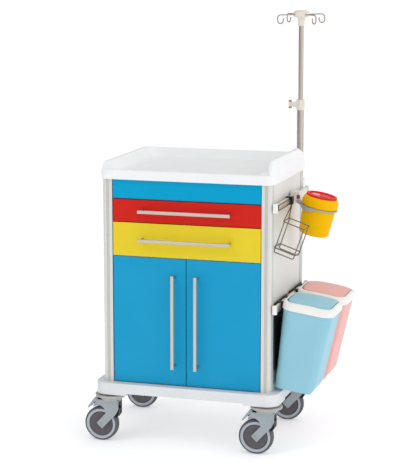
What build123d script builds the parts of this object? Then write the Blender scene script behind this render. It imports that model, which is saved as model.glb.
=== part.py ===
from build123d import *
import os
from math import cos, radians, sin

os.makedirs("parts", exist_ok=True)

# Driving dimensions of a ward treatment trolley, in mm.
# The drawing frame has X to the right of the doors, Y to the back and Z up,
# with its origin on the floor under the cabinet's centre.
width = 616.0            # over the corner columns
depth = 467.0            # over the corner columns
base_bottom = 183.0      # underside of the base moulding at its corners
cabinet_bottom = 226.0   # top of the base moulding
cabinet_top = 960.0      # underside of the worktop
column_size = 35.5
column_wall = 2.5
column_corner_r = 9.0
groove_span = (14.0, 24.0)      # of a column's groove, measured in from its outer face
groove_depth = 1.2
front_gap = 1.5          # half of the gap line between two fronts
front_levels = (228.0, 686.0, 808.0, 890.6, 958.0)
front_half_width = 270.0
front_thickness = 18.0
front_recess = 1.5
sheet = 1.6
wheel_diameter = 125.0
wheel_width = 32.0
caster_x = 289.0
caster_front_y, caster_rear_y = -213.0, 238.0
caster_trail = 36.0
handle_length = 336.0
handle_standoff = 35.0
handle_section = 12.0
rail_centre_x = 321.0
rail_levels = (524.0, 880.0)
pole_x, pole_y = 287.0, 259.0
pole_lower_radius = 12.5
pole_upper_radius = 9.0
pole_collar_z = (1171.0, 1209.0)
pole_head_z = 1478.0
pole_travel = 450.0
bin_tilt = 8.3
bin_front_y, bin_rear_y = -109.0, 109.0
sharps_tilt = 12.0
holder_tilt = 19.0
running_gap = 0.05       # radial clearance of a shaft in its bore

half_w, half_d = width / 2, depth / 2
column_in_x = half_w - column_size
column_in_y = half_d - column_size
front_face_y = -half_d + front_recess
front_back_y = front_face_y + front_thickness
upward = (Align.CENTER, Align.CENTER, Align.MIN)
nodes = {}


def block(x_span, y_span, z_span, corner_r=0.0, edge_r=0.0):
    """Upright block between three spans, with rounded vertical corners and rounded rims."""
    spans = (x_span, y_span, z_span)
    size = [high - low for low, high in spans]
    middle = [(high + low) / 2 for low, high in spans]
    solid = Pos(*middle) * Box(*size)
    if corner_r:
        solid = fillet(solid.edges().filter_by(Axis.Z), corner_r)
    if edge_r:
        rims = solid.edges().filter_by(lambda edge: abs(edge.tangent_at(0.5).Z) < 0.01)
        solid = fillet(rims, edge_r)
    return solid


def bar(start, end, radius):
    """Round bar from one point to another."""
    start, end = Vector(*start), Vector(*end)
    run = end - start
    return Plane(start, z_dir=run) * Cylinder(radius, run.length, align=upward)


def bent_wire(points, bend_r, radius, close=False):
    """Round wire that runs through the points with rounded bends."""
    path = FilletPolyline(*points, radius=bend_r, close=close)
    section = Plane(path @ 0, z_dir=path % 0) * Circle(radius)
    return sweep(section, path=path)


def side_plate(outline, y_span, holes=()):
    """Plate with an outline of (x, z) points, as thick as its y span."""
    face = Plane.XZ * make_face(Polyline(*outline, close=True))
    plate = Pos(0, y_span[1], 0) * extrude(face, amount=y_span[1] - y_span[0])
    for x, z, radius in holes:
        plate -= bar((x, y_span[0] - 1, z), (x, y_span[1] + 1, z), radius)
    return plate


def mirrored_x(solid):
    return mirror(solid, about=Plane.YZ)


def mirrored_y(solid):
    return mirror(solid, about=Plane.XZ)


def solids_of(*shapes):
    """Flat list of the solids in the shapes."""
    found = []
    for shape in shapes:
        found.extend(shape.solids())
    return found


def keep(name, *shapes):
    nodes[name] = solids_of(*shapes)


# --- Worktop -------------------------------------------------------------------
tray_x, tray_y = 318.0, 245.0
tray_corner_r = 34.0
tray_floor = 985.0
tray_lip = 993.0
tray_rim = 1018.0
tray_wall = 5.0
gallery_taper = 16.0
well_x = 270.0
well_y = (-229.0, 208.0)
well_taper = 38.0
ramp_y = (-234.0, -206.0)       # where the gallery comes down to the lip
push_rim = 1043.0
push_rim_x = (292.0, 312.0)
push_rim_y = (-238.0, 236.0)
push_rim_r = 8.0


def worktop():
    """Moulded top: a dished floor, a low lip in front, a gallery behind and a push rim on the right."""
    slab = block((-tray_x, tray_x), (-tray_y, tray_y), (cabinet_top, tray_floor), corner_r=tray_corner_r)
    plan = Pos(0, 0, tray_floor) * RectangleRounded(2 * tray_x, 2 * tray_y, tray_corner_r)
    gallery = extrude(plan, amount=tray_rim - tray_floor, taper=gallery_taper)
    well_depth = well_y[1] - well_y[0]
    well_plan = RectangleRounded(2 * well_x, well_depth, tray_corner_r - 8)
    well_plan = Pos(0, sum(well_y) / 2, tray_floor) * well_plan
    well = extrude(well_plan, amount=tray_rim - tray_floor + 1, taper=-well_taper)
    body = slab + gallery - well
    front = -tray_y - 1
    ramp = ((front, tray_lip), (ramp_y[0], tray_lip), (ramp_y[1], tray_rim + 1), (front, tray_rim + 1))
    ramp_face = Plane.YZ * make_face(Polyline(*ramp, close=True))
    body -= Pos(-tray_x - 1, 0, 0) * extrude(ramp_face, amount=2 * tray_x + 2)
    under_x, under_y = column_in_x - tray_wall, column_in_y - tray_wall
    body -= block((-under_x, under_x), (-under_y, under_y), (cabinet_top - 1, tray_floor - tray_wall + 1))
    foot = tray_floor - 2
    outline = ((push_rim_y[0], foot), (push_rim_y[0] + 10, push_rim - 19), (push_rim_y[0] + 24, push_rim),
               (push_rim_y[1] - 86, push_rim), (push_rim_y[1] - 10, tray_rim), (push_rim_y[1], foot))
    rim_face = Plane.YZ * make_face(Polyline(*outline, close=True))
    rim = Pos(push_rim_x[0], 0, 0) * extrude(rim_face, amount=push_rim_x[1] - push_rim_x[0])
    upper = rim.edges().filter_by(lambda edge: edge.center().Z > tray_floor + 15)
    crest = upper.filter_by(lambda edge: abs(edge.tangent_at(0.5).X) < 0.01)
    return body + fillet(crest, push_rim_r)


keep("top_tray", worktop())


# --- Carcass -------------------------------------------------------------------
def outer_upright(solid):
    """The upright edge of a front right column that faces the room."""
    return solid.edges().filter_by(Axis.Z).sort_by(lambda edge: edge.center().X - edge.center().Y)[-1]


def corner_column():
    """Hollow extruded column at the front right, with a groove down each outer face."""
    x_span, y_span = (column_in_x, half_w), (-half_d, -column_in_y)
    column = block(x_span, y_span, (cabinet_bottom, cabinet_top))
    column = fillet(outer_upright(column), column_corner_r)
    cut_z = (cabinet_bottom - 1, cabinet_top + 1)
    inner = block((x_span[0] + column_wall, x_span[1] - column_wall),
                  (y_span[0] + column_wall, y_span[1] - column_wall), cut_z)
    inner = fillet(outer_upright(inner), column_corner_r - column_wall)
    near, far = groove_span
    front_groove = block((half_w - far, half_w - near), (-half_d - 1, -half_d + groove_depth), cut_z)
    side_groove = block((half_w - groove_depth, half_w + 1), (-half_d + near, -half_d + far), cut_z)
    return column - inner - front_groove - side_groove


front_right_column = corner_column()
front_left_column = mirrored_x(front_right_column)
keep("corner_columns", front_right_column, front_left_column,
     mirrored_y(front_right_column), mirrored_y(front_left_column))

panel_outer = 304.0
panel_t = 1.5
back_inset = 8.0
panel_z = (cabinet_bottom, cabinet_top)
right_panel = block((panel_outer - panel_t, panel_outer), (-column_in_y, column_in_y), panel_z)
keep("right_side_panel", right_panel)
keep("left_side_panel", mirrored_x(right_panel))
back_y = (half_d - back_inset - panel_t, half_d - back_inset)
keep("back_panel", block((-column_in_x, column_in_x), back_y, panel_z))

divider_z = front_levels[1]
divider_lip = 0.6               # half thickness of the divider's lip between the fronts
sheet_x = (-272.0, 272.0)
sheet_front_y = -column_in_y + 4
sheet_back_y = back_y[0] - 0.5
divider = block(sheet_x, (sheet_front_y, sheet_back_y), (divider_z - sheet / 2, divider_z + sheet / 2))
divider += block(sheet_x, (front_face_y + 4, sheet_front_y),
                 (divider_z - divider_lip, divider_z + divider_lip))
cupboard_floor = block(sheet_x, (front_back_y + 3, sheet_back_y), (cabinet_bottom, cabinet_bottom + sheet))
top_sheet_z = front_levels[3] + 4
top_sheet = block(sheet_x, (sheet_front_y, sheet_back_y), (top_sheet_z, top_sheet_z + sheet))
keep("carcass_dividers", divider, cupboard_floor, top_sheet)

shelf_x, shelf_y, shelf_z = (-270.0, 270.0), (-190.0, sheet_back_y - 2), (434.0, 452.0)
shelf_wall, shelf_sheet = 2.0, 1.5
shelf_hollow = block((shelf_x[0] + shelf_wall, shelf_x[1] - shelf_wall),
                     (shelf_y[0] + shelf_wall, shelf_y[1] - shelf_wall),
                     (shelf_z[0] - 1, shelf_z[1] - shelf_sheet))
keep("cupboard_shelf", block(shelf_x, shelf_y, shelf_z) - shelf_hollow)

keep("top_fascia", block((-front_half_width, front_half_width), (front_face_y, front_back_y),
                         (front_levels[3] + front_gap, front_levels[4])))

# --- Base ----------------------------------------------------------------------
base_x, base_y = 338.0, 262.0
base_corner_r = 46.0
base_wall = 4.0
skirt_bottom = 190.0
foot_x, foot_y = 122.0, 120.0


def base_moulding():
    """Plastic base: a shallow tray turned down, its skirt a little deeper round each corner."""
    plan = RectangleRounded(2 * base_x, 2 * base_y, base_corner_r)
    inner = RectangleRounded(2 * (base_x - base_wall), 2 * (base_y - base_wall), base_corner_r - base_wall)
    body = Pos(0, 0, base_bottom) * extrude(plan, amount=cabinet_bottom - base_bottom)
    below_skirt = (base_bottom - 1, skirt_bottom)
    body -= block((-base_x + foot_x, base_x - foot_x), (-base_y - 1, base_y + 1), below_skirt)
    body -= block((-base_x - 1, base_x + 1), (-base_y + foot_y, base_y - foot_y), below_skirt)
    hollow = Pos(0, 0, base_bottom - 1) * extrude(inner, amount=cabinet_bottom - base_bottom - base_wall + 1)
    return body - hollow


keep("base_moulding", base_moulding())

tube_size, tube_wall = 25.0, 2.0
tube_z = (cabinet_bottom - base_wall - tube_size, cabinet_bottom - base_wall)
tube_x, tube_y = 225.0, 180.0


def square_tube(x_mid, y_mid, x_half, y_half):
    """Square steel tube, open at its ends, along the longer of X and Y."""
    outside = block((x_mid - x_half, x_mid + x_half), (y_mid - y_half, y_mid + y_half), tube_z)
    in_x = x_half + 1 if x_half > y_half else x_half - tube_wall
    in_y = y_half + 1 if y_half > x_half else y_half - tube_wall
    inside = block((x_mid - in_x, x_mid + in_x), (y_mid - in_y, y_mid + in_y),
                   (tube_z[0] + tube_wall, tube_z[1] - tube_wall))
    return outside - inside


half_tube = tube_size / 2
keep("chassis_frame",
     *[square_tube(side * tube_x, 0, half_tube, 232) for side in (-1, 1)],
     *[square_tube(0, side * tube_y, tube_x - half_tube, half_tube) for side in (-1, 1)])

# --- Casters -------------------------------------------------------------------
wheel_r = wheel_diameter / 2
head_top_r, head_low_r = 57.0, 35.0
head_z = (154.0, 177.0)
fork_top = head_z[0] - 0.4
cheek_in = wheel_width / 2 + 3
cheek_t = 3.0
axle_r = 6.0
kingpin_r = 6.0
head_neck_r = 18.0
fork_bolt_head = 3.0
pedal_pivot = (-46.0, 149.0)
pedal_pin_r = 2.5
pedal_half, cam_half = 17.0, 15.0


def caster_head():
    """Swivel head: a dished cap on a short neck, with the kingpin through it."""
    outline = ((0, head_z[0]), (head_low_r, head_z[0]), (head_low_r + 2, head_z[0] + 5),
               (head_top_r - 1, head_z[1] - 8), (head_top_r, head_z[1] - 6), (head_top_r, head_z[1]),
               (0, head_z[1]))
    cap = revolve(Plane.XZ * make_face(Polyline(*outline, close=True)), Axis.Z)
    neck = bar((0, 0, head_z[1]), (0, 0, cabinet_bottom - base_wall), head_neck_r)
    kingpin = bar((0, 0, fork_top - 9), (0, 0, head_z[0]), kingpin_r)
    return cap + neck + kingpin


def fork_cheek(y_span):
    """Pressed fork side: a broad neck, an arm that rakes back to the axle, and a wing over the wheel."""
    x_axle = -caster_trail
    end_x, end_z = x_axle - 14, wheel_r - 14
    outline = ((-33, fork_top), (33, fork_top), (33, 122), (24, 104),
               (end_x + 21, end_z - 2), (end_x, end_z + 18), (-14, 106), (-22, 124), (-36, 133),
               (-54, 134), (-62, 130), (-58, 139), (-53, 146), (-52, 154), (-40, 154), (-38, fork_top))
    return side_plate(outline, y_span, holes=((x_axle, wheel_r, axle_r),))


def fork_hood():
    """Crown plate and the curved mudguard that joins the two cheeks."""
    crown = block((-33, 33), (-cheek_in, cheek_in), (fork_top - 4, fork_top))
    crown -= bar((0, 0, fork_top - 10), (0, 0, fork_top + 1), kingpin_r + running_gap)
    guard_in, guard_out = wheel_r + 6, wheel_r + 8.5
    x_axle = -caster_trail
    ring = bar((x_axle, -cheek_in, wheel_r), (x_axle, cheek_in, wheel_r), guard_out)
    ring -= bar((x_axle, -cheek_in - 1, wheel_r), (x_axle, cheek_in + 1, wheel_r), guard_in)
    window = block((-64, -8), (-cheek_in, cheek_in), (wheel_r + 60, fork_top - 2))
    return crown + (ring & window)


def caster_fork():
    cheek = fork_cheek((cheek_in, cheek_in + cheek_t))
    fork = cheek + mirrored_y(cheek) + fork_hood()
    bolt_half = cheek_in + cheek_t + fork_bolt_head
    axle = bar((-caster_trail, -bolt_half, wheel_r), (-caster_trail, bolt_half, wheel_r), axle_r)
    pin_x, pin_z = pedal_pivot
    pin = bar((pin_x, -cheek_in - 1, pin_z), (pin_x, cheek_in + 1, pin_z), pedal_pin_r)
    return fork + axle + pin


def wheel_rim():
    """Hub with a thin web and a light rim band, bored for the axle."""
    half = wheel_width / 2
    hub_half = cheek_in - 0.5
    outline = ((axle_r + running_gap, hub_half), (16, hub_half), (20, half - 3), (44, half - 5),
               (46, half), (55, half), (55, -half), (46, -half), (44, -half + 5), (20, -half + 3),
               (16, -hub_half), (axle_r + running_gap, -hub_half))
    return revolve(Plane.XZ * make_face(Polyline(*outline, close=True)), Axis.Z)


def tyre():
    half = wheel_width / 2
    outline = ((55, half - 1), (59, half - 1), (wheel_r - 1, half - 4), (wheel_r, half - 8),
               (wheel_r, -half + 8), (wheel_r - 1, -half + 4), (59, -half + 1), (55, -half + 1))
    return revolve(Plane.XZ * make_face(Polyline(*outline, close=True)), Axis.Z)


def on_axle(solid):
    """Turns a wheel part modelled about Z onto the axle line."""
    return Pos(-caster_trail, 0, wheel_r) * Rot(90, 0, 0) * solid


def brake_pedal():
    """Foot lever on a cross pin behind the head, raked down and away over the wheel."""
    x, z = pedal_pivot
    outline = ((x - 6, z + 13), (x, z + 11), (x - 1, z + 1), (x - 3, z - 2), (x - 34, z - 26),
               (x - 40, z - 29), (x - 39, z - 22))
    return side_plate(outline, (-pedal_half, pedal_half), holes=((x, z, pedal_pin_r + running_gap + 1.2),))


def brake_cam():
    """Black cam block that turns with the pedal and carries its pin bore."""
    x, z = pedal_pivot
    outline = ((x, z + 11), (x + 4, z + 9), (x + 6, z + 2), (x + 4, z - 5), (x - 3, z - 5),
               (x - 3, z - 2), (x - 1, z + 1))
    return side_plate(outline, (-cam_half, cam_half), holes=((x, z, pedal_pin_r + running_gap),))


caster_places = {
    "front_left": (-caster_x, caster_front_y), "front_right": (caster_x, caster_front_y),
    "rear_left": (-caster_x, caster_rear_y), "rear_right": (caster_x, caster_rear_y),
}
keep("caster_heads", *[Pos(x, y, 0) * caster_head() for x, y in caster_places.values()])
for place, (x, y) in caster_places.items():
    spot = Pos(x, y, 0)
    keep(place + "_fork", spot * caster_fork())
    keep(place + "_rim", spot * on_axle(wheel_rim()))
    keep(place + "_tyre", spot * on_axle(tyre()))
    if place.startswith("front"):
        keep(place + "_brake_pedal", spot * brake_pedal())
        keep(place + "_brake_cam", spot * brake_cam())

# --- Drawers -------------------------------------------------------------------
drawer_back_y = 190.0
box_half_x = 256.0
runner_t, runner_h = 4.0, 22.0
rail_channel_y = 212.0
rail_channel_wall = 2.0
channel_depth = 4.0
handle_post_r = 5.0
handle_post_inset = 9.0


def bar_handle(length):
    """Flat bar handle along X on two posts, its back at y = 0 and its face towards -Y."""
    face = handle_section
    grip = block((-length / 2, length / 2), (-handle_standoff, -handle_standoff + 7), (-face / 2, face / 2))
    grip = fillet(grip.edges().filter_by(Axis.X), 1.8)
    for side in (-1, 1):
        post_x = side * (length / 2 - handle_post_inset)
        grip += bar((post_x, -handle_standoff + 5, 0), (post_x, 0, 0), handle_post_r)
    return grip


def drawer(name, low, high, box_height):
    """A front, a folded steel box with its inner runners, and a handle."""
    z_span = (low + front_gap, high - front_gap)
    keep(name + "_front", block((-front_half_width, front_half_width), (front_face_y, front_back_y), z_span))
    floor = z_span[0] + 8
    runner_z = floor + 12
    box = block((-box_half_x, box_half_x), (front_back_y, drawer_back_y), (floor, floor + box_height))
    box -= block((-box_half_x + sheet, box_half_x - sheet), (front_back_y + sheet, drawer_back_y - sheet),
                 (floor + sheet, floor + box_height + 1))
    runner = block((box_half_x, box_half_x + runner_t), (front_back_y + 2, drawer_back_y),
                   (runner_z, runner_z + runner_h))
    keep(name + "_box", box + runner + mirrored_x(runner))
    keep(name + "_handle", Pos(0, front_face_y, (low + high) / 2 + 1.5) * bar_handle(handle_length))
    return runner_z


upper_runner_z = drawer("upper_drawer", front_levels[2], front_levels[3], 58)
lower_runner_z = drawer("lower_drawer", front_levels[1], front_levels[2], 96)

runner_rails = []
channel_in_x = box_half_x + runner_t + 0.5
for runner_z in (upper_runner_z, lower_runner_z):
    low, high = runner_z - 1, runner_z + runner_h + 1
    channel = block((channel_in_x, column_in_x), (-rail_channel_y, rail_channel_y),
                    (low - rail_channel_wall, high + rail_channel_wall))
    channel -= block((channel_in_x - 1, box_half_x + runner_t + channel_depth),
                     (-rail_channel_y - 1, rail_channel_y + 1), (low, high))
    runner_rails.extend((channel, mirrored_x(channel)))
keep("drawer_runner_rails", *runner_rails)

# --- Doors ---------------------------------------------------------------------
door_z = (front_levels[0] + front_gap, front_levels[1] - front_gap)
hinge_x = front_half_width - 6
hinge_y = front_face_y + 6
hinge_pin_r = 2.5
hinge_pin_length = 16.0


def right_door():
    """Door leaf with rounded outer edges and a blind pivot bore at its top and bottom."""
    leaf = block((front_gap, front_half_width), (front_face_y, front_back_y), door_z)
    outer = leaf.edges().filter_by(Axis.Z).sort_by(Axis.X)[-2:]
    leaf = fillet(outer, 2.5)
    bores = ((door_z[0] - 1, door_z[0] + hinge_pin_length), (door_z[1] - hinge_pin_length, door_z[1] + 1))
    for z_start, z_end in bores:
        leaf -= bar((hinge_x, hinge_y, z_start), (hinge_x, hinge_y, z_end), hinge_pin_r + running_gap)
    return leaf


door_handle_x = 42.0
door_handle_z = 461.0
right_leaf = right_door()
upright_handle = Pos(door_handle_x, front_face_y, door_handle_z) * Rot(0, 90, 0) * bar_handle(handle_length)
keep("right_door_panel", right_leaf)
keep("right_door_handle", upright_handle)
keep("left_door_panel", mirrored_x(right_leaf))
keep("left_door_handle", mirrored_x(upright_handle))

low_pin_z = (cabinet_bottom, door_z[0] + hinge_pin_length - 1)
high_pin_z = (door_z[1] - hinge_pin_length + 1, divider_z - divider_lip)
pivot_pins = []
for side in (-1, 1):
    for z_start, z_end in (low_pin_z, high_pin_z):
        pin_x = side * hinge_x
        pivot_pins.append(bar((pin_x, hinge_y, z_start), (pin_x, hinge_y, z_end), hinge_pin_r))
keep("door_pivot_pins", *pivot_pins)

# --- Accessory rails -----------------------------------------------------------
rail_t, rail_h = 10.0, 25.0
rail_x = (rail_centre_x - rail_t / 2, rail_centre_x + rail_t / 2)
rail_end_y = 226.0
cap_length, cap_half_x, cap_half_z = 10.0, 7.5, 16.0
foot_span, foot_half_z = (200.0, 212.0), 9.0
side_rails, rail_fittings = [], []
for level in rail_levels:
    side_rails.append(block(rail_x, (-rail_end_y, rail_end_y), (level - rail_h / 2, level + rail_h / 2)))
    cap = block((rail_centre_x - cap_half_x, rail_centre_x + cap_half_x),
                (rail_end_y, rail_end_y + cap_length), (level - cap_half_z, level + cap_half_z))
    foot = block((half_w, rail_x[0]), foot_span, (level - foot_half_z, level + foot_half_z))
    rail_fittings.extend((cap, foot, mirrored_y(cap), mirrored_y(foot)))
keep("side_rails", *side_rails)
keep("rail_fittings", *rail_fittings)

# --- Drip pole -----------------------------------------------------------------
pole_foot_z = 385.0
pole_bore_r = pole_lower_radius - 1.5
bracket_levels = (440.0, 900.0)
bracket_half = 16.0
collar_r = 15.0
knob_x = (pole_x - 34, pole_x - 26.4)
knob_pin_r = 3.0
lower_tube = bar((pole_x, pole_y, pole_foot_z), (pole_x, pole_y, pole_collar_z[0]), pole_lower_radius)
lower_tube -= bar((pole_x, pole_y, pole_foot_z + 4), (pole_x, pole_y, pole_collar_z[0] + 1), pole_bore_r)
keep("pole_lower_tube", lower_tube)

pole_brackets = []
for level in bracket_levels:
    clamp_z = (level - bracket_half, level + bracket_half)
    clamp = block((pole_x - 19, pole_x + 19), (half_d, pole_y + 17), clamp_z, corner_r=6)
    clamp -= bar((pole_x, pole_y, clamp_z[0] - 1), (pole_x, pole_y, clamp_z[1] + 1), pole_lower_radius)
    pole_brackets.append(clamp)
keep("pole_brackets", *pole_brackets)

collar_mid = sum(pole_collar_z) / 2
collar = bar((pole_x, pole_y, pole_collar_z[0]), (pole_x, pole_y, pole_collar_z[1]), collar_r)
collar += block((pole_x - 26, pole_x), (pole_y - 9, pole_y + 9), (collar_mid - 9, collar_mid + 11), edge_r=2)
collar -= bar((pole_x, pole_y, pole_collar_z[0] - 1), (pole_x, pole_y, pole_collar_z[1] + 1),
              pole_upper_radius + running_gap)
knob_z = collar_mid + 1
collar -= bar((pole_x - 27, pole_y, knob_z), (pole_x - 12, pole_y, knob_z), knob_pin_r + running_gap)
keep("pole_collar", collar)

knob = bar((knob_x[0], pole_y, knob_z), (knob_x[1], pole_y, knob_z), 8)
knob += block((knob_x[0] - 10, knob_x[0]), (pole_y - 4, pole_y + 4), (knob_z - 15, knob_z + 15), edge_r=2)
knob += bar((knob_x[1], pole_y, knob_z), (pole_x - 14, pole_y, knob_z), knob_pin_r)
keep("pole_lock_knob", knob)

upper_foot_z = pole_collar_z[0] - pole_travel - 60
upper_wall = 1.2
upper_tube = bar((pole_x, pole_y, upper_foot_z), (pole_x, pole_y, pole_head_z + 4), pole_upper_radius)
upper_tube -= bar((pole_x, pole_y, upper_foot_z - 1), (pole_x, pole_y, pole_head_z - 4),
                  pole_upper_radius - upper_wall)
keep("pole_upper_tube", upper_tube)

hub_outline = ((0, pole_head_z + 4), (pole_upper_radius, pole_head_z + 4), (pole_upper_radius, pole_head_z),
               (11, pole_head_z), (14, pole_head_z + 28), (29, pole_head_z + 34), (29, pole_head_z + 50),
               (20, pole_head_z + 56), (0, pole_head_z + 56))
hub = revolve(Plane.XZ * make_face(Polyline(*hub_outline, close=True)), Axis.Z)
arm_z = pole_head_z + 41
hook_wire_r = 2.2
hook_reach = 100.0
hook_gap = 24.0
hook_drop, hook_tip = 31.0, 19.0
hook_bend_r = 11.5


def hanging_hook():
    """Wire arm along X that ends in an open loop for a bag's eyelet."""
    points = ((12, 0, arm_z), (hook_reach, 0, arm_z), (hook_reach, 0, arm_z - hook_drop),
              (hook_reach - hook_gap, 0, arm_z - hook_drop),
              (hook_reach - hook_gap, 0, arm_z - hook_drop + hook_tip))
    return bent_wire(points, hook_bend_r, hook_wire_r)


hooks = []
for turn in (45, 135, 225, 315):
    hooks.append(Pos(pole_x, pole_y, 0) * Rot(0, 0, turn) * hanging_hook())
hub = Pos(pole_x, pole_y, 0) * hub
for hook in hooks:
    hub -= hook
keep("pole_hook_hub", hub)
keep("pole_hooks", *hooks)

# --- Bottle holder -------------------------------------------------------------
holder_wire_r = 2.0
holder_y = (-190.0, -110.0)
holder_width = 79.0
holder_inner = (339.0, 830.0)


def tilted_point(start, along, down, tilt):
    """Point reached from start by going along the tilted level and then down the tilted drop."""
    x, z = start
    angle = radians(tilt)
    return (x + along * cos(angle) - down * sin(angle), z - along * sin(angle) - down * cos(angle))


def holder_ring(down):
    """Closed rectangular wire ring, across the tilted drop."""
    x_in, z_in = tilted_point(holder_inner, 0, down, holder_tilt)
    x_out, z_out = tilted_point(holder_inner, holder_width, down, holder_tilt)
    front, back = holder_y
    points = ((x_in, front, z_in), (x_out, front, z_out), (x_out, back, z_out), (x_in, back, z_in))
    return bent_wire(points, 7, holder_wire_r, close=True)


holder_drop = 98.0
basket_drop = 114.0
upright_inset = 3.2      # of the uprights from the centre lines of the rings


def holder_basket(y):
    """U-shaped wire across the tilt: down inside the two rings, under them and up again."""
    inner, outer = upright_inset, holder_width - upright_inset
    corners = [tilted_point(holder_inner, along, down, holder_tilt)
               for along, down in ((inner, -1), (inner, basket_drop), (outer, basket_drop), (outer, -1))]
    return bent_wire([(x, y, z) for x, z in corners], 6, holder_wire_r)


rail_top_z = rail_levels[1] + rail_h / 2
clip_y = (-60.0, -40.0)
clip_low_z = 869.0
clip_out_x = rail_x[1] + 12
clip_back_x = rail_x[0] - 3
clip_top_z = rail_top_z + 4
hanger_rows = (-54.5, -45.5)
hanger_x = rail_x[1] + 6
wire_rows = (holder_y[0] + upright_inset, holder_y[1] - upright_inset)

holder_frame = holder_ring(0) + holder_ring(holder_drop)
for y in wire_rows:
    holder_frame += holder_basket(y)
ring_x, ring_z = tilted_point(holder_inner, 0, 1, holder_tilt)
for y, hanger_y in zip(wire_rows, hanger_rows):
    points = ((hanger_x, hanger_y, clip_low_z - 0.2), (hanger_x, hanger_y, clip_low_z - 7),
              (ring_x, y, ring_z))
    holder_frame += bent_wire(points, 3, holder_wire_r)
loop_x = rail_x[1] + holder_wire_r + 0.6
loop_y = (-215.0, clip_y[0] - holder_wire_r - 0.2)
loop_z = (871.0, 889.0)
rail_loop = bent_wire(((loop_x, loop_y[0], loop_z[0]), (loop_x, loop_y[1], loop_z[0]),
                       (loop_x, loop_y[1], loop_z[1]), (loop_x, loop_y[0], loop_z[1])),
                      5, holder_wire_r, close=True)
keep("bottle_holder_wires", holder_frame, rail_loop)

clip = block((rail_x[1] + 0.4, clip_out_x), clip_y, (clip_low_z, clip_top_z))
clip += block((clip_back_x, clip_out_x), clip_y, (rail_top_z + 0.5, clip_top_z))
clip += block((clip_back_x, rail_x[0] - 0.6), clip_y, (rail_top_z - 12, clip_top_z))
keep("bottle_holder_clip", clip)

# --- Sharps container ----------------------------------------------------------
sharps_base = (392.0, 40.0, 752.0)
sharps_height = 142.0
sharps_low_r, sharps_band_r, sharps_lid_r = 54.0, 60.5, 65.0
band_height = 101.0
collar_height = 22.0
cover_r = 55.0
cover_rim = 9.0
mouth_x, mouth_r = 14.0, 22.0
spigot_r = 41.6


def sharps_place(solid):
    return Pos(*sharps_base) * Rot(0, sharps_tilt, 0) * solid


def sharps_tub():
    """Tapered tub with its domed collar, hollow and open at the top."""
    wall = 2.0
    outer = ((0, 0), (sharps_low_r - 4, 0), (sharps_low_r, 4), (sharps_band_r, band_height + 0.4),
             (sharps_lid_r, band_height + 3), (sharps_lid_r, band_height + collar_height),
             (sharps_lid_r - 6, sharps_height - 7), (sharps_lid_r - 8, sharps_height - 4),
             (42, sharps_height - 4), (42, sharps_height - 7), (sharps_lid_r - 13, sharps_height - 7),
             (sharps_lid_r - wall, band_height + collar_height - 1), (sharps_lid_r - wall, band_height + 5),
             (sharps_band_r - wall, band_height + 2), (sharps_low_r - wall, wall + 2), (0, wall))
    return revolve(Plane.XZ * make_face(Polyline(*outer, close=True)), Axis.Z)


def sharps_cover():
    """Turning red cover: a raised ring with a round mouth to one side."""
    low = sharps_height - 3.6
    disc = Pos(0, 0, low) * Cylinder(cover_r, 2.4, align=upward)
    rim = Pos(0, 0, low + 2.4) * Cylinder(cover_r, 3.6, align=upward)
    rim -= Pos(0, 0, low + 2.3) * Cylinder(cover_r - cover_rim, 4, align=upward)
    mouth = Pos(mouth_x, 0, low - 1) * Cylinder(mouth_r, 8, align=upward)
    spigot = Pos(0, 0, low - 4) * Cylinder(spigot_r, 4, align=upward)
    spigot -= Pos(0, 0, low - 5) * Cylinder(spigot_r - 2, 5.5, align=upward)
    return disc + rim + spigot - mouth


keep("sharps_tub", sharps_place(sharps_tub()))
keep("sharps_cover", sharps_place(sharps_cover()))

ring_in = sharps_band_r + 0.4
ring_z = (band_height - 6, band_height)
wedge_z = (band_height - 16, band_height)
ring = bar((0, 0, ring_z[0]), (0, 0, ring_z[1]), ring_in + 5)
ring += bar((0, 0, wedge_z[0]), (0, 0, wedge_z[1]), ring_in + 7) & block((-70, -6), (-70, -20), wedge_z)
ring -= bar((0, 0, wedge_z[0] - 1), (0, 0, wedge_z[1] + 1), ring_in)

rail_z = (rail_levels[1] - rail_h / 2, rail_levels[1] + rail_h / 2)
clamp_y = (sharps_base[1] - 24, sharps_base[1] + 24)
clamp_x = (rail_x[0] - 4, rail_x[1] + 8)
clamp = block(clamp_x, clamp_y, (rail_z[0] - 5, rail_z[1] + 12))
clamp -= block(rail_x, (clamp_y[0] - 1, clamp_y[1] + 1), rail_z)
arm_outline = ((clamp_x[1] - 1, 874), (clamp_x[1] - 1, 863), (354, 851), (354, 861))
arm = side_plate(arm_outline, (clamp_y[0] + 8, clamp_y[1] - 8))
arm -= sharps_place(bar((0, 0, band_height - 40), (0, 0, band_height + 1), ring_in))
arm -= sharps_place(bar((0, 0, band_height), (0, 0, band_height + 40), sharps_lid_r + 1))
keep("sharps_ring", sharps_place(ring) + clamp + arm)

# --- Waste bins ----------------------------------------------------------------
bin_base = (385.0, 230.0)       # x and z of the lid's centre line at floor level
bin_height = 295.0
bin_wall = 2.2
frame_wall = 3.2
tub_base_half, tub_base_depth = 69.5, 90.0
tub_base_shift = -5.5
tub_base_r, tub_top_r = 24.0, 41.0
tub_top_half, tub_top_depth = 89.0, 99.0
frame_half, frame_depth = 93.0, 103.0
frame_corner_r = 45.0
frame_z = (bin_height - 10, bin_height + 25)
socket_top = bin_height + 7
flap_half, flap_depth = 77.0, 86.0
flap_corner_r = 38.0
flap_thickness = 3.5
mouth_gap = 2.0                 # between flap and mouth
mouth_shift = -1.75             # of the mouth towards the hinge, so the flap's edge can swing up
lid_dome_r = 700.0
lid_hinge = (-72.0, 308.0)
lid_pin_r = 1.8
lid_pin_y = (58.0, 81.0)
lid_lug = 7.0
heel_start, heel_angle = 56.0, 24.0


def bin_place(solid, y):
    return Pos(bin_base[0], y, bin_base[1]) * Rot(0, bin_tilt, 0) * solid


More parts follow.
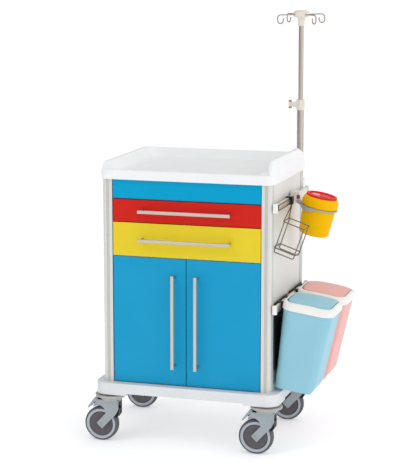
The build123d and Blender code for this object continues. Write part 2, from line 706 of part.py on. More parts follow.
def tub_body(inset, z_low, z_high):
    """Tapered body with rounded corners: the outer wall leans out more than the one by the cabinet."""
    low = RectangleRounded(2 * (tub_base_half - inset), 2 * (tub_base_depth - inset), tub_base_r - inset)
    high = RectangleRounded(2 * (tub_top_half - inset), 2 * (tub_top_depth - inset), tub_top_r - inset)
    return loft([Pos(tub_base_shift, 0, z_low) * low, Pos(0, 0, z_high) * high])


def bin_tub():
    """Open tub, cut away at its low outer corner."""
    heel = Pos(heel_start, 0, 0) * Rot(0, heel_angle, 0) * block((0, 80), (-150, 150), (-70, 70))
    shell = tub_body(0, 0, bin_height) - heel
    hollow = tub_body(bin_wall, bin_wall, bin_height + 0.01) - Pos(-bin_wall, 0, 0) * heel
    return shell - hollow


def under_dome(solid, crest):
    """The part of a lid piece that lies under the shallow dome of this crest."""
    return solid & (Pos(0, 0, crest - lid_dome_r) * Sphere(lid_dome_r))


def rounded_prism(half_x, half_y, corner_r, z_span, x_shift=0.0):
    plan = Pos(x_shift, 0, z_span[0]) * RectangleRounded(2 * half_x, 2 * half_y, corner_r)
    return extrude(plan, amount=z_span[1] - z_span[0])


def bin_frame():
    """Domed lid frame that sits over the tub, with a wide mouth and a blind bore for each hinge pin."""
    body = under_dome(rounded_prism(frame_half, frame_depth, frame_corner_r, frame_z), frame_z[1])
    body -= rounded_prism(frame_half - frame_wall, frame_depth - frame_wall, frame_corner_r - frame_wall,
                          (frame_z[0] - 1, socket_top))
    body -= rounded_prism(flap_half + mouth_gap - mouth_shift, flap_depth + mouth_gap,
                          flap_corner_r + mouth_gap, (frame_z[0] - 1, frame_z[1] + 1), mouth_shift)
    x, z = lid_hinge
    for side in (-1, 1):
        bore_start, bore_end = side * (lid_pin_y[1] - 9), side * (lid_pin_y[1] + 0.5)
        body -= bar((x, bore_start, z), (x, bore_end, z), lid_pin_r + running_gap)
    return body


def bin_flap():
    """Inset domed lid flap with a hinge pin under each corner by the cabinet."""
    plate = rounded_prism(flap_half, flap_depth, flap_corner_r, (socket_top, frame_z[1] + 1))
    flap = under_dome(plate, frame_z[1])
    flap -= Pos(0, 0, frame_z[1] - lid_dome_r) * Sphere(lid_dome_r - flap_thickness)
    x, z = lid_hinge
    for side in (-1, 1):
        lug_y = sorted((side * lid_pin_y[0], side * (lid_pin_y[0] + lid_lug)))
        flap += block((x - 3, x + 3), lug_y, (z - 2.5, z + 3.5))
        flap += bar((x, side * (lid_pin_y[0] + 1), z), (x, side * lid_pin_y[1], z), lid_pin_r)
    return flap


for name, y in (("front_bin", bin_front_y), ("rear_bin", bin_rear_y)):
    keep(name + "_tub", bin_place(bin_tub(), y))
    keep(name + "_frame", bin_place(bin_frame(), y))
    keep(name + "_flap", bin_place(bin_flap(), y))

hook_reach_x = 337.0
rim_low_z = 524.6               # where the frames' rims rest on the hooks
hook_offset, hook_half = 45.0, 10.0
carrier_half, carrier_low_z = 88.0, 300.0
carrier_x = (309.6, rail_x[0] - 3)
rail_z = (rail_levels[0] - rail_h / 2, rail_levels[0] + rail_h / 2)
bin_hooks = []
for bin_y in (bin_front_y, bin_rear_y):
    carrier = block(carrier_x, (bin_y - carrier_half, bin_y + carrier_half), (carrier_low_z, rail_z[1] + 4))
    for hook_y in (bin_y - hook_offset, bin_y + hook_offset):
        y_span = (hook_y - hook_half, hook_y + hook_half)
        carrier += block((rail_x[0] - 3, rail_x[1] + 4), y_span, (rail_z[0] - 4, rail_z[1] + 4))
        carrier -= block(rail_x, (y_span[0] - 1, y_span[1] + 1), rail_z)
        carrier += block((rail_x[1] + 3, hook_reach_x), y_span, (rim_low_z - 5, rim_low_z))
    bin_hooks.append(carrier)
keep("bin_hooks", *bin_hooks)

# --- Finish --------------------------------------------------------------------
boxes = [solid.bounding_box() for group in nodes.values() for solid in group]
origin_x = (min(box.min.X for box in boxes) + max(box.max.X for box in boxes)) / 2
origin_y = (min(box.min.Y for box in boxes) + max(box.max.Y for box in boxes)) / 2
print("origin of the part in the drawing frame:", round(origin_x, 4), round(origin_y, 4))
for name, group in nodes.items():
    placed = [Pos(-origin_x, -origin_y, 0) * solid for solid in group]
    shape = placed[0] if len(placed) == 1 else Compound(placed)
    export_step(shape, "parts/" + name + ".step")
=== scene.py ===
from math import cos, pi, radians, sin

import bpy
from mathutils import Matrix, Vector


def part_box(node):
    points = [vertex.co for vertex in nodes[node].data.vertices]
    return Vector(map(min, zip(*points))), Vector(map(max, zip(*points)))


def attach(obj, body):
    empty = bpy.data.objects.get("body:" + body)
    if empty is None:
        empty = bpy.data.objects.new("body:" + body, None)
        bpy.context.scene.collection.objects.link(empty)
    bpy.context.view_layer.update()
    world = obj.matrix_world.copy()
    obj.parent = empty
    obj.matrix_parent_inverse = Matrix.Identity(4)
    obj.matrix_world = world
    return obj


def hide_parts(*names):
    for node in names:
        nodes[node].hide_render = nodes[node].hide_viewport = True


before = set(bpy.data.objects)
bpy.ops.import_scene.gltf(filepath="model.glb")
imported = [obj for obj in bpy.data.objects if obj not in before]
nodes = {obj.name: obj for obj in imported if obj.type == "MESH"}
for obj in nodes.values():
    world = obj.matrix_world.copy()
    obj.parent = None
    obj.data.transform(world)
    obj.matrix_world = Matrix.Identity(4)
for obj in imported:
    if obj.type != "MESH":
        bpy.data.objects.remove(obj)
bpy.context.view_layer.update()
scene = bpy.context.scene

# Sizes are in mm, in the cabinet's own frame: its origin is on the floor under
# the middle of the corner columns, X runs to the right of the doors, Y to the back.
mm = 0.001
columns_low, columns_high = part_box("corner_columns")
middle_x = (columns_low.x + columns_high.x) / 2
middle_y = (columns_low.y + columns_high.y) / 2


def spot(x, y, z, tilt=0.0, turn=0.0):
    """Placement of a piece modelled in mm: where it stands, its tilt about Y and turn about Z."""
    place = Matrix.Translation((middle_x + x * mm, middle_y + y * mm, z * mm))
    turns = Matrix.Rotation(radians(turn), 4, "Z") @ Matrix.Rotation(radians(tilt), 4, "Y")
    return place @ turns @ Matrix.Scale(mm, 4)


# --- Materials -----------------------------------------------------------------
def linear(hex_colour):
    """Linear RGBA of an sRGB hex colour."""
    channels = [int(hex_colour[i:i + 2], 16) / 255 for i in (1, 3, 5)]
    light = [c / 12.92 if c <= 0.04045 else ((c + 0.055) / 1.055) ** 2.4 for c in channels]
    return (*light, 1.0)


def add(tree, kind, sockets, **settings):
    """Adds a node with its settings, and sets or links its input sockets."""
    node = tree.nodes.new(kind)
    for name, value in settings.items():
        setattr(node, name, value)
    for socket, value in sockets.items():
        if isinstance(value, bpy.types.NodeSocket):
            tree.links.new(value, node.inputs[socket])
        else:
            node.inputs[socket].default_value = value
    return node


def per_mm(size):
    """Texture scale that makes a pattern's features this many mm large."""
    return 1000.0 / size


def start_material(name, **sockets):
    """A new material with its shader's plain values set, and what its pattern is wired to."""
    material = bpy.data.materials.new(name)
    material.use_nodes = True
    tree = material.node_tree
    shader = tree.nodes["Principled BSDF"]
    for socket, value in sockets.items():
        shader.inputs[socket.replace("_", " ")].default_value = value
    coords = add(tree, "ShaderNodeTexCoord", {}).outputs["Object"]
    return material, tree, shader, coords


# Sockets of a mix node that blends two colours.
mix_factor, mix_low, mix_high, mix_result = 0, 6, 7, 2


def finish_surface(tree, shader, pattern, colours, roughness, relief, depth):
    """Lets one pattern set a surface's colour and roughness, and raise it by a depth in mm."""
    spread, low_hex, high_hex = colours
    blend = add(tree, "ShaderNodeMix",
                {mix_factor: spread, mix_low: linear(low_hex), mix_high: linear(high_hex)},
                data_type="RGBA")
    gloss = add(tree, "ShaderNodeMapRange",
                {"Value": pattern, "To Min": roughness[0], "To Max": roughness[1]})
    bump = add(tree, "ShaderNodeBump",
               {"Height": pattern, "Strength": relief, "Distance": depth * mm})
    tree.links.new(blend.outputs[mix_result], shader.inputs["Base Color"])
    tree.links.new(gloss.outputs["Result"], shader.inputs["Roughness"])
    tree.links.new(bump.outputs["Normal"], shader.inputs["Normal"])


def moulded(name, low_hex, high_hex, gloss, shine=0.2, grain=2.0, depth=0.02):
    """Injection-moulded plastic: a satin, spark-eroded grain and a colour that drifts a little.

    The real grain is about 0.1 mm, too fine to show, so it is drawn as coarse as it needs
    to show: 2.0 to 2.4 mm wide. The colour drifts over 90 mm, as the melt flowed.
    """
    material, tree, shader, coords = start_material(name, IOR=1.49, Specular_IOR_Level=shine)
    flow = add(tree, "ShaderNodeTexNoise", {"Vector": coords, "Scale": per_mm(90), "Detail": 3.0})
    skin = add(tree, "ShaderNodeTexNoise", {"Vector": coords, "Scale": per_mm(grain), "Detail": 2.0})
    finish_surface(tree, shader, skin.outputs["Fac"], (flow.outputs["Fac"], low_hex, high_hex),
                   (gloss - 0.06, gloss + 0.06), 0.25, depth)
    return material


def laminate(name, low_hex, high_hex):
    """High-pressure laminate board: an even satin face with a faint pearl structure pressed into it.

    The pearls of the press plate are under 1 mm, too fine to show, so they are drawn as
    coarse as they need to show: 2.4 mm wide.
    """
    material, tree, shader, coords = start_material(name, IOR=1.5, Specular_IOR_Level=0.07)
    paper = add(tree, "ShaderNodeTexNoise", {"Vector": coords, "Scale": per_mm(160), "Detail": 3.0})
    pearl = add(tree, "ShaderNodeTexVoronoi", {"Vector": coords, "Scale": per_mm(2.4)}, feature="SMOOTH_F1")
    finish_surface(tree, shader, pearl.outputs["Distance"], (paper.outputs["Fac"], low_hex, high_hex),
                   (0.30, 0.42), 0.12, 0.05)
    return material


def coated(name, low_hex, high_hex, gloss):
    """Powder-coated sheet steel: an orange-peel skin that softens the reflections.

    Its crests are 2.2 mm apart, as on a real coat.
    """
    material, tree, shader, coords = start_material(name, IOR=1.5, Specular_IOR_Level=0.3)
    cloud = add(tree, "ShaderNodeTexNoise", {"Vector": coords, "Scale": per_mm(120), "Detail": 3.0})
    peel = add(tree, "ShaderNodeTexNoise", {"Vector": coords, "Scale": per_mm(2.2), "Detail": 1.5})
    finish_surface(tree, shader, peel.outputs["Fac"], (cloud.outputs["Fac"], low_hex, high_hex),
                   (gloss - 0.05, gloss + 0.07), 0.2, 0.06)
    return material


def brushed(name, low_hex, high_hex, stretch, gloss, metal=1.0):
    """Metal with fine lines along it from brushing or drawing; stretch is small along the lines.

    Real brush lines are about 0.1 mm apart, too fine to show, so they are drawn as coarse
    as they need to show: 0.8 mm apart.
    """
    material, tree, shader, coords = start_material(name, Metallic=metal)
    along = add(tree, "ShaderNodeMapping", {"Vector": coords, "Scale": stretch})
    lines = add(tree, "ShaderNodeTexNoise",
                {"Vector": along.outputs["Vector"], "Scale": per_mm(0.8), "Detail": 4.0})
    streak = lines.outputs["Fac"]
    finish_surface(tree, shader, streak, (streak, low_hex, high_hex),
                   (gloss - 0.08, gloss + 0.12), 0.15, 0.02)
    return material


def tyre_rubber(name, low_hex, high_hex):
    """Grey thermoplastic rubber: matt, with floor dust that lightens it in specks about 3 mm wide."""
    material, tree, shader, coords = start_material(name, IOR=1.52)
    dust = add(tree, "ShaderNodeTexNoise",
               {"Vector": coords, "Scale": per_mm(3), "Detail": 6.0, "Roughness": 0.7})
    finish_surface(tree, shader, dust.outputs["Fac"], (dust.outputs["Fac"], low_hex, high_hex),
                   (0.55, 0.8), 0.4, 0.08)
    return material


def zinc_plated(name, low_hex, high_hex):
    """Passivated zinc on pressed steel: a blue-grey sheen with cloudy patches about 14 mm wide."""
    material, tree, shader, coords = start_material(name, Metallic=0.55)
    cloud = add(tree, "ShaderNodeTexNoise", {"Vector": coords, "Scale": per_mm(14), "Detail": 5.0})
    finish_surface(tree, shader, cloud.outputs["Fac"], (cloud.outputs["Fac"], low_hex, high_hex),
                   (0.38, 0.55), 0.15, 0.05)
    return material


# Sanitary white and off-white plastics: smooth and bright, with soft highlights.
tray_abs = moulded("white_moulded_abs", "#EAEBEC", "#F3F4F4", 0.34)
base_abs = moulded("offwhite_moulded_abs", "#DADCDE", "#E4E6E7", 0.42)
cap_white = moulded("white_moulded_polypropylene", "#E8E8E5", "#F2F2EF", 0.36)
ivory_nylon = moulded("ivory_moulded_nylon", "#DCD4C6", "#E9E3D8", 0.42)
beige_nylon = moulded("beige_grey_moulded_nylon", "#A8A6A0", "#BAB8B2", 0.5)
clamp_nylon = moulded("light_moulded_nylon", "#D2CEC8", "#DEDBD6", 0.45)
# Dark and grey plastics of the casters and clamps: satin, so their edges catch thin lights.
black_nylon = moulded("black_moulded_nylon", "#141214", "#201D1F", 0.42)
disc_nylon = moulded("dark_grey_moulded_nylon", "#575257", "#686368", 0.55, grain=2.4, depth=0.05)
rim_nylon = moulded("light_grey_moulded_nylon", "#A8AEB8", "#B6BCC4", 0.42)
hoop_nylon = moulded("grey_moulded_nylon", "#9DA1A8", "#AFB3B8", 0.45)
knob_nylon = moulded("brown_moulded_nylon", "#6B4232", "#7C4E3C", 0.45)
tip_nylon = moulded("tan_moulded_nylon", "#A57E5C", "#B68F6C", 0.45)
# Grey-beige for the column strips, darker than the columns so that it paints the shade of their grooves.
groove_shade_pvc = moulded("grey_beige_pvc_painted_groove_shade", "#BEBBB1", "#CBC8BF", 0.5)
# Saturated polypropylene: the pigment carries the colour, with little surface shine.
yellow_pp = moulded("yellow_moulded_polypropylene", "#EDB200", "#F4BE00", 0.3, shine=0.06)
red_pp = moulded("red_moulded_polypropylene", "#E4101B", "#F01C27", 0.32, shine=0.06)
hatch_pp = moulded("dark_red_moulded_polypropylene", "#C40D18", "#D01722", 0.3, shine=0.15)
# Pinkish grey that paints a reflection on the sharps cover.
reflection_tab_pp = moulded("pinkish_grey_painted_reflection", "#C9A09C", "#D4ADA8", 0.3)
blue_pp = moulded("light_blue_moulded_polypropylene", "#8CC2D4", "#98CADA", 0.38)
pink_pp = moulded("pink_moulded_polypropylene", "#E5A6A1", "#ECB2AD", 0.38)
flap_pink_pp = moulded("deep_pink_moulded_polypropylene", "#EAACA3", "#F0B6AE", 0.38)
# Laminated boards: even colour with satin reflections.
door_laminate = laminate("sky_blue_laminate_board", "#1897C6", "#249ECB")
fascia_laminate = laminate("cyan_laminate_board", "#009AC8", "#08A1CE")
red_laminate = laminate("red_laminate_board", "#C8211A", "#D02920")
yellow_laminate = laminate("yellow_laminate_board", "#E1C82C", "#E7D036")
# Sheet metal: pale, broad soft highlights.
panel_steel = coated("light_grey_powder_coated_steel", "#DEDEDA", "#E6E6E3", 0.5)
sheet_steel = coated("grey_powder_coated_steel", "#C6C8C8", "#D0D2D2", 0.45)
# Drawn and brushed metals: streaks along the length, warm grey for stainless steel.
along_x, along_y, along_z = (0.015, 1.0, 1.0), (1.0, 0.015, 1.0), (1.0, 1.0, 0.015)
drawn_z, bent_about = (1.0, 1.0, 0.01), (0.2, 0.2, 0.2)
column_alloy = brushed("lacquered_extruded_aluminium", "#CFD0CD", "#E2E3E0", drawn_z, 0.42, metal=0.35)
handle_steel = brushed("brushed_stainless_steel_bar", "#B3ABA0", "#DCD6CC", along_x, 0.34)
upright_steel = brushed("brushed_stainless_steel_upright", "#B3ABA0", "#DCD6CC", along_z, 0.34)
rail_steel = brushed("brushed_stainless_steel_rail", "#D8D0C6", "#EEE7DE", along_y, 0.42, metal=0.8)
mast_steel = brushed("polished_stainless_steel_tube", "#A69E94", "#CBC4BA", drawn_z, 0.26)
hook_steel = brushed("bent_stainless_steel_rod", "#8A8275", "#B5ADA0", bent_about, 0.28)
wire_steel = brushed("bright_drawn_steel_wire", "#665E56", "#90887E", bent_about, 0.24)
# Zinc-plated forks with a blue-grey bloom, and matt tyres that hide their shine.
fork_steel = zinc_plated("blue_passivated_zinc_steel", "#959EA3", "#AFB7BB")
tread_rubber = tyre_rubber("grey_thermoplastic_rubber", "#4C4D52", "#636469")


# --- Shapes --------------------------------------------------------------------
def smooth(mesh, angle):
    """Smooth shading that keeps edges sharper than the angle."""
    mesh.polygons.foreach_set("use_smooth", [True] * len(mesh.polygons))
    mesh.set_sharp_from_angle(angle=radians(angle))


def new_piece(name, points, faces, place, angle=32.0):
    """Mesh object from points in mm and faces, put in place."""
    mesh = bpy.data.meshes.new(name)
    mesh.from_pydata([place @ Vector(point) for point in points], [], faces)
    mesh.update()
    smooth(mesh, angle)
    piece = bpy.data.objects.new(name, mesh)
    scene.collection.objects.link(piece)
    return piece


def rounded(points, radius, steps=5, closed=True):
    """Outline with every corner blended over this distance, or less where its sides are short."""
    points = [Vector(point) for point in points]
    count = len(points)
    outline = []
    for index, corner in enumerate(points):
        if not closed and index in (0, count - 1):
            outline.append(tuple(corner))
            continue
        before, after = points[index - 1], points[(index + 1) % count]
        reach_in = min(radius, (before - corner).length * 0.48)
        reach_out = min(radius, (after - corner).length * 0.48)
        start = corner + (before - corner).normalized() * reach_in
        end = corner + (after - corner).normalized() * reach_out
        for step in range(steps + 1):
            t = step / steps
            outline.append(tuple(start * (1 - t) ** 2 + corner * 2 * t * (1 - t) + end * t ** 2))
    return outline


def skin(name, rings, place, closed=False, cap=True, angle=32.0):
    """Surface through rings of equal point counts; closed joins the last ring to the first."""
    count = len(rings[0])
    points = [point for ring in rings for point in ring]
    faces = []
    pairs = list(zip(range(len(rings) - 1), range(1, len(rings))))
    if closed:
        pairs.append((len(rings) - 1, 0))
    for low, high in pairs:
        for i in range(count):
            j = (i + 1) % count
            faces.append((low * count + i, low * count + j, high * count + j, high * count + i))
    if cap and not closed:
        faces.append(tuple(reversed(range(count))))
        faces.append(tuple(range((len(rings) - 1) * count, len(rings) * count)))
    return new_piece(name, points, faces, place, angle)


def turned(name, outline, place, steps=96, angle=32.0):
    """Turned shape from a closed (radius, height) outline that keeps off the axis."""
    rings = []
    for radius, height in outline:
        ring = []
        for step in range(steps):
            a = 2 * pi * step / steps
            ring.append((radius * cos(a), radius * sin(a), height))
        rings.append(ring)
    return skin(name, rings, place, closed=True, angle=angle)


def oblong(half_x, half_y, corner, steps=10, between=6):
    """Outline of a rounded rectangle, with as many points for every size."""
    arcs = []
    for quarter, (sign_x, sign_y) in enumerate(((1, 1), (-1, 1), (-1, -1), (1, -1))):
        for step in range(steps + 1):
            a = pi / 2 * (quarter + step / steps)
            arcs.append(Vector((sign_x * (half_x - corner) + corner * cos(a),
                                sign_y * (half_y - corner) + corner * sin(a))))
    outline = []
    for index, point in enumerate(arcs):
        outline.append(point)
        if index % (steps + 1) == steps:
            following = arcs[(index + 1) % len(arcs)]
            outline.extend(point.lerp(following, part / between) for part in range(1, between))
    return outline


def settle(piece, body, slot, material, *replaced):
    """Gives a piece its material and body, and hides the nodes it stands for."""
    piece.data.materials.clear()
    piece.data.materials.append(material)
    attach(piece, body)
    if replaced:
        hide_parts(*replaced)
    return piece


def dress(node, material, edge=0.0, angle=30.0):
    """Gives a CAD node its material, and eases its edges by a radius in mm."""
    part = nodes[node]
    part.data.materials.clear()
    part.data.materials.append(material)
    if edge:
        weld = part.modifiers.new("weld", "WELD")
        weld.merge_threshold = 0.00001
        ease = part.modifiers.new("eased_edges", "BEVEL")
        ease.width = edge * mm
        ease.segments = 3
        ease.limit_method = "ANGLE"
        ease.angle_limit = radians(angle)
        ease.harden_normals = True
        ease.use_clamp_overlap = True


# --- Cabinet -------------------------------------------------------------------
dress("top_tray", tray_abs, 2.5)
dress("corner_columns", column_alloy, 0.5)
dress("left_side_panel", panel_steel)
dress("right_side_panel", panel_steel)
dress("back_panel", panel_steel)
dress("base_moulding", base_abs, 2.0)
dress("chassis_frame", sheet_steel)
dress("carcass_dividers", sheet_steel)
dress("cupboard_shelf", sheet_steel)
dress("drawer_runner_rails", rail_steel)
dress("door_pivot_pins", handle_steel)
dress("top_fascia", fascia_laminate, 1.4)
dress("side_rails", rail_steel, 1.2)
dress("rail_fittings", cap_white, 1.2)
dress("pole_brackets", cap_white, 1.5)
# Black nylon hooks; the black plates they carry behind the bins paint the shade in the narrow gap between
# each bin and the side panel.
dress("bin_hooks", black_nylon, 0.8)
for drawer, face in (("upper_drawer", red_laminate), ("lower_drawer", yellow_laminate)):
    dress(drawer + "_front", face, 1.4)
    dress(drawer + "_box", sheet_steel)
    dress(drawer + "_handle", handle_steel, 0.6)
for side in ("left", "right"):
    dress(side + "_door_panel", door_laminate, 1.4)
    dress(side + "_door_handle", upright_steel, 0.6)

# The grooves of the columns are filled with a crowned plastic strip, darker than the columns, whose
# grey-beige paints the shade of the grooves.
column_half_x, column_half_y = 308.0, 233.5
groove_middle, groove_depth = 19.0, 1.2
column_z = (226.5, 959.5)
strip_section = rounded(((-4.7, 0.15), (-4.7, 0.7), (-2.5, 1.1), (2.5, 1.1), (4.7, 0.7),
                         (4.7, 0.15)), 0.3, 2)


def column_strip(name, x, y, turn):
    """Crowned strip that stands in a groove whose floor is at x, y and faces the turned -Y."""
    rings = [[(across, -out, z) for across, out in strip_section] for z in column_z]
    strip = skin(name, rings, spot(x, y, 0, turn=turn))
    settle(strip, "cabinet", "column_alu", groove_shade_pvc)


for end, sign_y in (("front", -1), ("rear", 1)):
    for side, sign_x in (("left", -1), ("right", 1)):
        column_strip(end + "_" + side + "_strip", sign_x * (column_half_x - groove_middle),
                     sign_y * (column_half_y - groove_depth), 0 if sign_y < 0 else 180)
        column_strip(side + "_" + end + "_side_strip", sign_x * (column_half_x - groove_depth),
                     sign_y * (column_half_y - groove_middle), 90 * sign_x)

# --- Pole ----------------------------------------------------------------------
dress("pole_lower_tube", mast_steel, 0.5)
dress("pole_upper_tube", mast_steel, 0.5)
dress("pole_collar", ivory_nylon, 0.8)
dress("pole_lock_knob", ivory_nylon, 0.6)
dress("pole_hook_hub", ivory_nylon, 0.8)
# Soft tan tips on the two wings of the lock knob.
wing_x, pole_y, lock_z = 248.0, 259.0, 1191.0
tip_sections = (((5.5, 4.5, 2.4), 8.0), ((5.5, 4.5, 2.4), 14.6), ((4.8, 3.8, 2.2), 15.4))
for end, upward in (("upper", 1), ("lower", -1)):
    tip_rings = []
    for size, up in tip_sections:
        tip_rings.append([(x, y, upward * up) for x, y in oblong(*size, steps=4, between=2)])
    tip = skin(end + "_knob_tip", tip_rings, spot(wing_x, pole_y, lock_z))
    settle(tip, "mast_lock", "hub_ivory", tip_nylon)
dress("pole_hooks", hook_steel)
dress("bottle_holder_wires", wire_steel)
dress("bottle_holder_clip", black_nylon)

# --- Casters -------------------------------------------------------------------
caster_trail, wheel_r = 36.0, 62.5
caster_half_x, front_y, rear_y = 289.0, -213.0, 238.0
casters = {"front_left": (-caster_half_x, front_y), "front_right": (caster_half_x, front_y),
           "rear_left": (-caster_half_x, rear_y), "rear_right": (caster_half_x, rear_y)}
guard_half, lever_half, shade_block_half = 18.4, 16.8, 14.5


def on_wheel(x, y):
    """Placement that lays a turned piece on a caster's axle."""
    return spot(x - caster_trail, y, wheel_r) @ Matrix.Rotation(pi / 2, 4, "X")


tyre_outline = rounded(((55, -14.5), (59, -15), (62.5, -10), (62.5, 10), (59, 15), (55, 14.5)), 3.0, 4)
rim_outline = rounded(((45.5, -15.5), (47, -16), (54.8, -16), (54.9, -14), (54.9, 14),
                       (54.8, 16), (47, 16), (45.5, 15.5), (44.5, 8), (44.5, -8)), 1.0, 3)
cover_outline = rounded(((6.3, -13.6), (11, -13.6), (12, -12.2), (30, -12.6), (31, -13.4),
                         (38, -13.4), (43, -12.5), (44.4, -9), (44.4, 9), (43, 12.5),
                         (38, 13.4), (31, 13.4), (30, 12.6), (12, 12.2), (11, 13.6),
                         (6.3, 13.6)), 0.9, 3)
# Side outlines, as distance behind the swivel axis and height above the floor.
foot_lever = rounded(((-86, 119.5), (-83, 127), (-66, 149), (-57, 161.5), (-46.5, 161),
                      (-46.5, 151), (-60, 142), (-73, 129), (-80, 119.5)), 4.0, 4)
# Black block between the foot lever and the fork hood: it paints the shade that falls under the lever.
lever_shade_block = rounded(((-70, 143), (-60, 155), (-51.5, 157), (-50.5, 138), (-60, 136.5),
                       (-70, 136)), 2.0, 3)
toe_guard = rounded(((22, 127), (33.3, 124), (33.5, 102), (24.5, 88), (18.4, 99.5),
                     (20, 113)), 2.0, 3)


def pressed(name, outline, half, x, y):
    """Plate across a caster, from its side outline and half its width."""
    rings = [[(across, deep, up) for across, up in outline] for deep in (-half, half)]
    return skin(name, rings, spot(x, y, 0))



for place_name, (x, y) in casters.items():
    wheel, swivel, brake = (place_name + "_" + body for body in ("wheel", "swivel", "brake"))
    tread = turned(place_name + "_tread", tyre_outline, on_wheel(x, y))
    settle(tread, wheel, "tyre_grey", tread_rubber, place_name + "_tyre")
    rim_band = turned(place_name + "_rim_band", rim_outline, on_wheel(x, y))
    settle(rim_band, wheel, "rim_grey", rim_nylon, place_name + "_rim")
    wheel_disc = turned(place_name + "_wheel_disc", cover_outline, on_wheel(x, y))
    settle(wheel_disc, wheel, "tyre_grey", disc_nylon)
    guard = pressed(place_name + "_toe_guard", toe_guard, -guard_half, x, y)
    settle(guard, swivel, "cam_black", black_nylon)
    dress(place_name + "_fork", fork_steel, 0.8)
    if y == front_y:
        lever = pressed(place_name + "_foot_lever", foot_lever, lever_half, x, y)
        settle(lever, brake, "fork_steel", fork_steel, place_name + "_brake_pedal")
        # A black block paints the shade under the foot lever.
        shade_block = pressed(place_name + "_lever_shade_block", lever_shade_block, shade_block_half, x, y)
        settle(shade_block, brake, "cam_black", black_nylon)
        dress(place_name + "_brake_cam", black_nylon, 0.8)
dress("caster_heads", beige_nylon, 1.2)

# --- Sharps container ----------------------------------------------------------
sharps_foot, sharps_tilt = (392.0, 40.0, 752.0), 12.0
on_sharps = spot(*sharps_foot, tilt=sharps_tilt)
cover_top = 140.8
dress("sharps_tub", yellow_pp, 0.8)
dress("sharps_cover", red_pp, 0.6)

# The cover has a raised rib, a hatch over its mouth and a pale raised tab beside it; the tab's pinkish grey
# paints the reflection across the glossy cover.
rib_outline = rounded(((38, cover_top), (38.6, cover_top + 2), (41, cover_top + 2),
                       (41.6, cover_top)), 0.7, 3)
cover_rib = turned("sharps_cover_rib", rib_outline, on_sharps)
settle(cover_rib, "sharps_lid", "sharps_red", red_pp)
hatch_x, tab_x = 14.0, -21.5
hatch_outline = rounded(((0.4, cover_top - 1), (21, cover_top - 1), (21.4, cover_top),
                         (19, cover_top + 1.4), (0.4, cover_top + 1.8)), 0.8, 3)
hatch = turned("sharps_hatch", hatch_outline, on_sharps @ Matrix.Translation((hatch_x, 0, 0)))
settle(hatch, "sharps_lid", "sharps_red", hatch_pp)
tab_rings = []
for inset, z in ((0.0, cover_top), (0.4, cover_top + 1.1), (1.6, cover_top + 1.6)):
    outline = oblong(13.5 - inset, 16.0 - inset, 8.0 - inset)
    tab_rings.append([(x + tab_x, y, z) for x, y in outline])
settle(skin("sharps_painted_reflection_tab", tab_rings, on_sharps), "sharps_lid", "sharps_red", reflection_tab_pp)

# The hoop that carries the tub: a ring that thickens to a wedge at its front left.
hoop_in, hoop_out, hoop_low, hoop_high = 60.9, 65.9, 95.0, 101.0
hoop_outline = rounded(((hoop_in, hoop_low), (hoop_out, hoop_low), (hoop_out, hoop_high),
                        (hoop_in, hoop_high)), 1.2, 4)
hoop = turned("sharps_hoop", hoop_outline, on_sharps)
settle(hoop, "cabinet", "ring_grey", hoop_nylon, "sharps_ring")
wedge_steps, wedge_start, wedge_sweep = 24, 200.0, 62.0
wedge_drop, wedge_bulge, wedge_in = 9.6, 1.8, hoop_in + 0.1
wedge_rings = []
for step in range(wedge_steps + 1):
    part = step / wedge_steps
    a = radians(wedge_start + wedge_sweep * part)
    # It swells over its first half and ends bluntly.
    swell = sin(pi * min(1.0, 0.12 + 1.6 * part, 0.08 + 6 * (1 - part)) / 2)
    low, out = hoop_low - wedge_drop * swell, hoop_out + wedge_bulge * swell
    section = rounded(((wedge_in, low), (out, low), (out, hoop_high), (wedge_in, hoop_high)),
                      1.0, 3)
    wedge_rings.append([(r * cos(a), r * sin(a), z) for r, z in section])
hoop_wedge = skin("sharps_hoop_wedge", wedge_rings, on_sharps)
settle(hoop_wedge, "cabinet", "ring_grey", hoop_nylon)

# The light clamp that hooks over the rail, the arm to the hoop and the clamp's turned knob.
clamp_y, arm_y = (16.5, 63.5), (24.5, 55.5)
clamp_outline = rounded(((312.4, 904), (333.6, 904), (333.6, 863), (326.4, 863), (326.4, 892.9),
                         (315.6, 892.9), (315.6, 863), (312.4, 863)), 1.6, 4)
clamp_rings = [[(x, y, z) for x, z in clamp_outline] for y in clamp_y]
settle(skin("sharps_clamp", clamp_rings, spot(0, 0, 0)), "cabinet", "cap_white", clamp_nylon)
arm_outline = rounded(((333.0, 874), (333.0, 863), (353.5, 851.3), (353.5, 860.6)), 1.0, 3)
arm_rings = [[(x, y, z) for x, z in arm_outline] for y in arm_y]
settle(skin("sharps_arm", arm_rings, spot(0, 0, 0)), "cabinet", "ring_grey", hoop_nylon)
knob_outline = rounded(((0.6, 0), (5, 0), (5, 3), (7.5, 4), (7.5, 9.5), (5, 11), (0.6, 11)),
                       0.8, 3)
knob_seat = (333.6, 24.0, 885.0)
clamp_knob = turned("sharps_clamp_knob", knob_outline, spot(*knob_seat, tilt=90.0), steps=48)
settle(clamp_knob, "cabinet", "cam_black", knob_nylon)

# --- Waste bins ----------------------------------------------------------------
bin_x, bin_y, bin_z, bin_tilt = 385.0, 109.0, 230.0, 8.3
frame_low, socket_top, lid_crest, lid_dome_r = 285.4, 302.2, 320.0, 700.0
# Half sizes with the corner radius, of the frame's outside and of its mouth.
frame_half, mouth_half, mouth_shift = (93.0, 103.0, 45.0), (80.75, 88.0, 40.0), -1.75
socket_inset = 3.2


def domed_ring(size, drop, shift=0.0):
    """Ring of a lid frame that lies this far below the lid's shallow dome."""
    ring = []
    for x, y in oblong(*size):
        dome = lid_crest - lid_dome_r + (lid_dome_r ** 2 - x ** 2 - y ** 2) ** 0.5
        ring.append((x + shift, y, dome - drop))
    return ring


def level_ring(size, z, shift=0.0):
    """Ring of a lid frame that lies level."""
    return [(x + shift, y, z) for x, y in oblong(*size)]


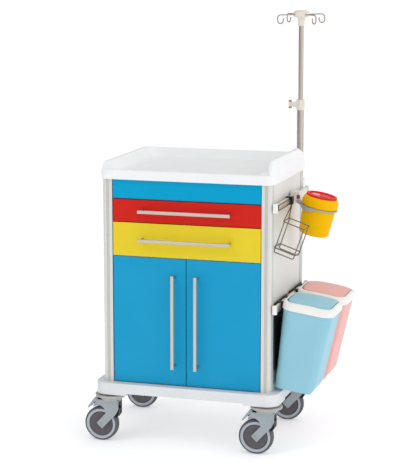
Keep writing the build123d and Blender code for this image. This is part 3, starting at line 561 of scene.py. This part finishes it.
def lid_frame(name, y):
    """Pillow-edged lid frame: outside, over the crown, into the mouth and back under to the socket."""
    half_x, half_y, corner = frame_half
    rings = [level_ring(frame_half, frame_low), level_ring(frame_half, frame_low + 2)]
    for inset, drop in ((0.0, 9.0), (0.5, 6.0), (2.2, 3.0), (5.0, 1.0), (8.0, 0.1)):
        rings.append(domed_ring((half_x - inset, half_y - inset, corner - inset / 2), drop))
    mouth_x, mouth_y, mouth_corner = mouth_half
    rings.append(domed_ring((mouth_x + 1.2, mouth_y + 1.2, mouth_corner + 1.2), 0.4, mouth_shift))
    rings.append(domed_ring(mouth_half, 1.6, mouth_shift))
    rings.append(level_ring(mouth_half, socket_top, mouth_shift))
    socket = [size - socket_inset for size in frame_half]
    rings.append(level_ring(socket, socket_top))
    rings.append(level_ring(socket, frame_low))
    return skin(name, rings, spot(bin_x, y, bin_z, tilt=bin_tilt), closed=True)


for name, y, plastic, lid_plastic in (("front_bin", -bin_y, blue_pp, blue_pp),
                                      ("rear_bin", bin_y, pink_pp, flap_pink_pp)):
    dress(name + "_tub", plastic, 1.0)
    settle(lid_frame(name + "_lid_frame", y), name, "cap_white", cap_white, name + "_frame")
    dress(name + "_flap", lid_plastic, 0.8)

# --- Floor, light and camera ---------------------------------------------------
floor_mesh = bpy.data.meshes.new("floor")
floor_half = 90.0
floor_corners = [(x * floor_half, y * floor_half, 0) for x, y in ((-1, -1), (1, -1), (1, 1), (-1, 1))]
floor_mesh.from_pydata(floor_corners, [], [(0, 1, 2, 3)])
floor = bpy.data.objects.new("floor", floor_mesh)
scene.collection.objects.link(floor)
# A matt white cyclorama sheet that glows a little, so only the contact shadows darken it.
floor_finish = start_material("matt_white_floor", Roughness=0.75, Specular_IOR_Level=0.1,
                              Base_Color=linear("#F6F6F8"), Emission_Color=linear("#FFFFFF"),
                              Emission_Strength=0.29)[0]
floor_mesh.materials.append(floor_finish)

world = bpy.data.worlds.new("studio")
scene.world = world
world.use_nodes = True
# The studio is white, with a dimmer wall on the left that gives round steel its dark side.
walls = world.node_tree
dim_wall, white_wall = 0.42, 1.0
directions = add(walls, "ShaderNodeTexCoord", {}).outputs["Generated"]
leftness = add(walls, "ShaderNodeSeparateXYZ", {"Vector": directions})
wall_light = add(walls, "ShaderNodeMapRange",
                 {"Value": leftness.outputs["X"], "From Min": -0.75, "From Max": 0.25,
                  "To Min": dim_wall, "To Max": white_wall}, interpolation_type="SMOOTHSTEP")
background = walls.nodes["Background"]
background.inputs["Color"].default_value = linear("#FFFFFF")
walls.links.new(wall_light.outputs["Result"], background.inputs["Strength"])


def soft_light(name, position, size, power):
    """Large square light that faces the cabinet's middle."""
    data = bpy.data.lights.new(name, "AREA")
    data.size = size
    data.energy = power
    light = bpy.data.objects.new(name, data)
    light.location = position
    aim = Vector((0.0, 0.0, 0.7)) - Vector(position)
    light.rotation_euler = aim.to_track_quat("-Z", "Y").to_euler()
    scene.collection.objects.link(light)


soft_light("key_light", (-2.4, -3.4, 4.2), 2.4, 40.0)
soft_light("side_light", (4.2, -1.4, 2.6), 3.2, 18.0)

camera_turn, camera_rise, camera_distance = radians(16.92), radians(9.98), 6.096
camera_back = Vector((sin(camera_turn) * cos(camera_rise), -cos(camera_turn) * cos(camera_rise),
                      sin(camera_rise)))
camera_target = Vector((middle_x - 0.0112, middle_y - 0.0034, 0.737))
camera_data = bpy.data.cameras.new("camera")
camera_data.lens = 129.5
camera_data.sensor_width = 36.0
camera = bpy.data.objects.new("camera", camera_data)
camera.location = camera_target + camera_back * camera_distance
camera.rotation_euler = (-camera_back).to_track_quat("-Z", "Y").to_euler()
scene.collection.objects.link(camera)
scene.camera = camera
scene.view_settings.view_transform = "Standard"
